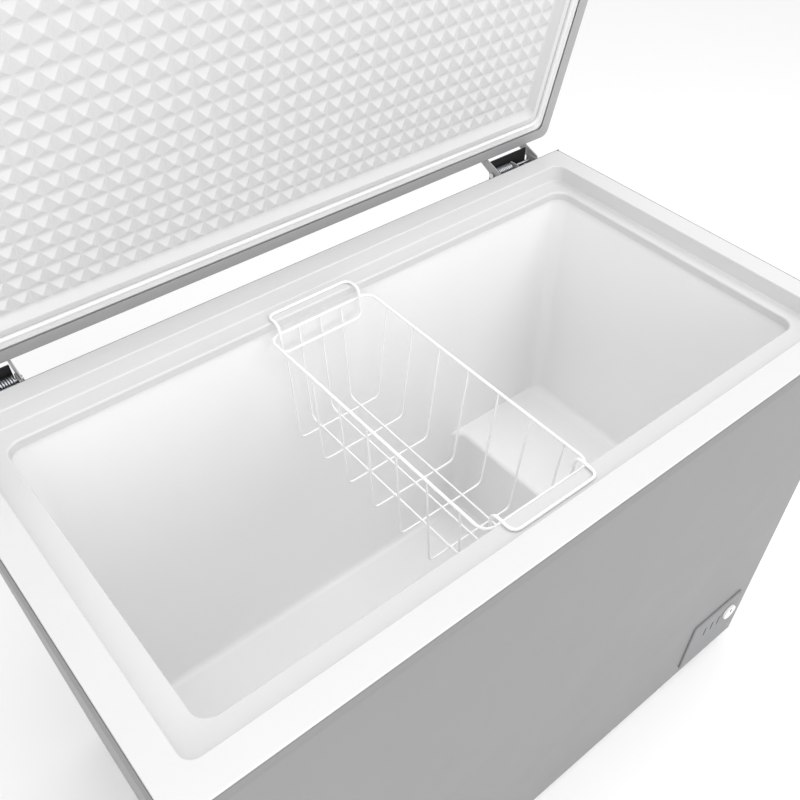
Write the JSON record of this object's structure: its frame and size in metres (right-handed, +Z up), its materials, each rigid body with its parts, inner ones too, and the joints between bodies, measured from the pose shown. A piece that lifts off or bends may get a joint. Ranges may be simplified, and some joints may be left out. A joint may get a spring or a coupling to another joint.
{
  "type": "chest freezer",
  "caption": "Chest freezer with a sprung top lid standing open, an insulated tub with a compressor hump, a thermostat knob and a hanging wire basket.",
  "frame": {"origin": "on the floor, under the middle of the box of the freezer with its lid open", "axes": "+Z up; +Y from the front of the cabinet to its back; +X to the right as seen from the front, towards the compressor end"},
  "size_m": [1.077, 0.7066, 1.4265],
  "materials": {
    "cabinet_paint": "satin",
    "galvanised": "matte",
    "plinth_plastic": "matte",
    "black_rubber": "matte",
    "foam": "matte",
    "liner_white": "satin",
    "frame_white": "satin",
    "copper_tube": "satin",
    "compressor_black": "satin",
    "black_plastic": "matte",
    "panel_grey": "satin",
    "zinc_steel": "satin",
    "gasket_white": "matte",
    "coated_wire": "gloss"
  },
  "bodies": {
    "cabinet": {"outer_wrapper": "cabinet_paint", "rear_panel": "cabinet_paint", "bottom_panel": "galvanised", "plinth_frame": "plinth_plastic", "foot_front_left": "black_rubber", "foot_rear_left": "black_rubber", "foot_front_right": "black_rubber", "foot_rear_right": "black_rubber", "insulation_foam": "foam", "inner_liner": "liner_white", "top_frame": "frame_white", "evaporator_tube": "copper_tube", "condenser_tube": "copper_tube", "compressor_plate": "galvanised", "compressor": "compressor_black", "compressor_grommet_1": "black_rubber", "compressor_grommet_2": "black_rubber", "compressor_grommet_3": "black_rubber", "compressor_grommet_4": "black_rubber", "start_relay": "black_plastic", "discharge_pipe": "copper_tube", "suction_pipe": "copper_tube", "filter_drier": "copper_tube", "compressor_cover": "cabinet_paint", "control_panel": "panel_grey", "thermostat": "plinth_plastic", "cord_gland": "black_rubber", "hinge_base_left": "cabinet_paint", "hinge_pin_left": "zinc_steel", "hinge_spring_left": "zinc_steel", "hinge_tray_left": "black_plastic", "hinge_base_right": "cabinet_paint", "hinge_pin_right": "zinc_steel", "hinge_spring_right": "zinc_steel", "hinge_tray_right": "black_plastic", "hinge_screw_1": "zinc_steel", "hinge_screw_2": "zinc_steel", "hinge_screw_3": "zinc_steel", "hinge_screw_4": "zinc_steel"},
    "lid": {"lid_shell": "cabinet_paint", "lid_liner": "liner_white", "lid_gasket": "gasket_white", "lid_foam": "foam", "lid_handle": "panel_grey", "hinge_leaf_left": "cabinet_paint", "hinge_leaf_right": "cabinet_paint"},
    "knob": {"thermostat_knob": "frame_white"},
    "basket": {"basket_rim": "coated_wire", "basket_hook_rear": "coated_wire", "basket_hook_front": "coated_wire", "basket_cross_wire_1": "coated_wire", "basket_cross_wire_2": "coated_wire", "basket_cross_wire_3": "coated_wire", "basket_cross_wire_4": "coated_wire", "basket_cross_wire_5": "coated_wire", "basket_cross_wire_6": "coated_wire", "basket_cross_wire_7": "coated_wire", "basket_long_wire_1": "coated_wire", "basket_long_wire_2": "coated_wire", "basket_long_wire_3": "coated_wire"}
  },
  "joints": [
    {"name": "lid_hinge", "type": "hinge", "parent": "cabinet", "child": "lid", "pos_m": [0, 0.28647, 0.777], "axis": [-1, 0, 0], "range_deg": [-77, 8]},
    {"name": "thermostat_turn", "type": "hinge", "parent": "cabinet", "child": "knob", "pos_m": [0.4715, -0.347, 0.149], "axis": [0, 1, 0], "range_deg": [-150, 150]},
    {"name": "basket_slide", "type": "slide", "parent": "cabinet", "child": "basket", "axis": [1, 0, 0], "range_m": [-0.35, 0.385]}
  ]
}
